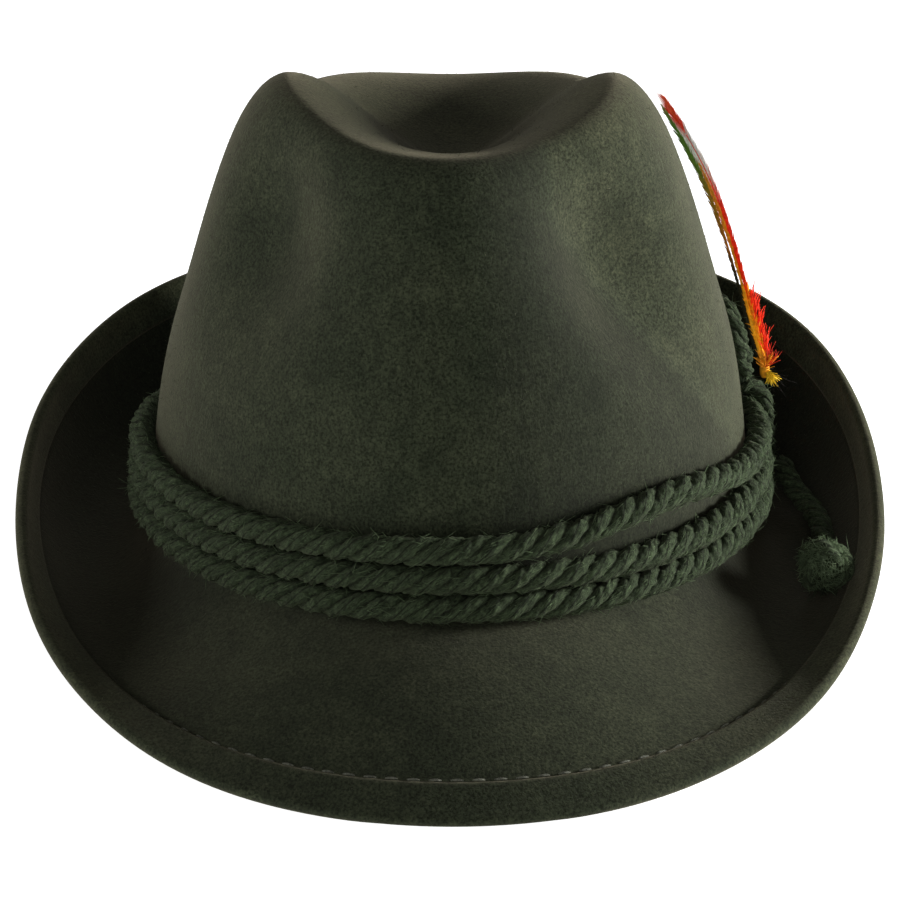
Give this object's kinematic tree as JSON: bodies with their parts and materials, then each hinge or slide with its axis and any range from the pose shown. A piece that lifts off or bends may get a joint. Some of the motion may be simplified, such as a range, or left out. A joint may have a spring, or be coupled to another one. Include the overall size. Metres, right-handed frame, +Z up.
{
  "type": "tyrolean hat",
  "caption": "Felt tyrolean hat with a creased, pinched crown, a brim turned up at the sides and back, a rope band with a knotted tail, and a feather plume at the side.",
  "frame": {"origin": "on the surface the hat rests on, under the middle of its box measured without the loose cord end", "axes": "+X towards the hat's left side, where the plume is, +Y towards the back of the hat, +Z up"},
  "size_m": [0.2504, 0.3034, 0.1486],
  "materials": {
    "felt": "matt wool felt, brushed",
    "cord": "matt twisted wool rope, three strands",
    "plume_red": "soft barbs, satin",
    "plume_orange": "soft barbs, satin",
    "plume_green": "soft barbs, satin",
    "tuft": "short fluffy barbs"
  },
  "bodies": {
    "root": {"felt_body": "felt", "cord_lower": "cord", "cord_middle": "cord", "cord_upper": "cord", "side_knot": "cord", "cord_loop": "cord", "cord_tail": "cord", "tail_knot": "cord", "feather_tuft": "tuft", "feather_red": "plume_red", "feather_orange": "plume_orange", "feather_green": "plume_green"}
  },
  "joints": []
}
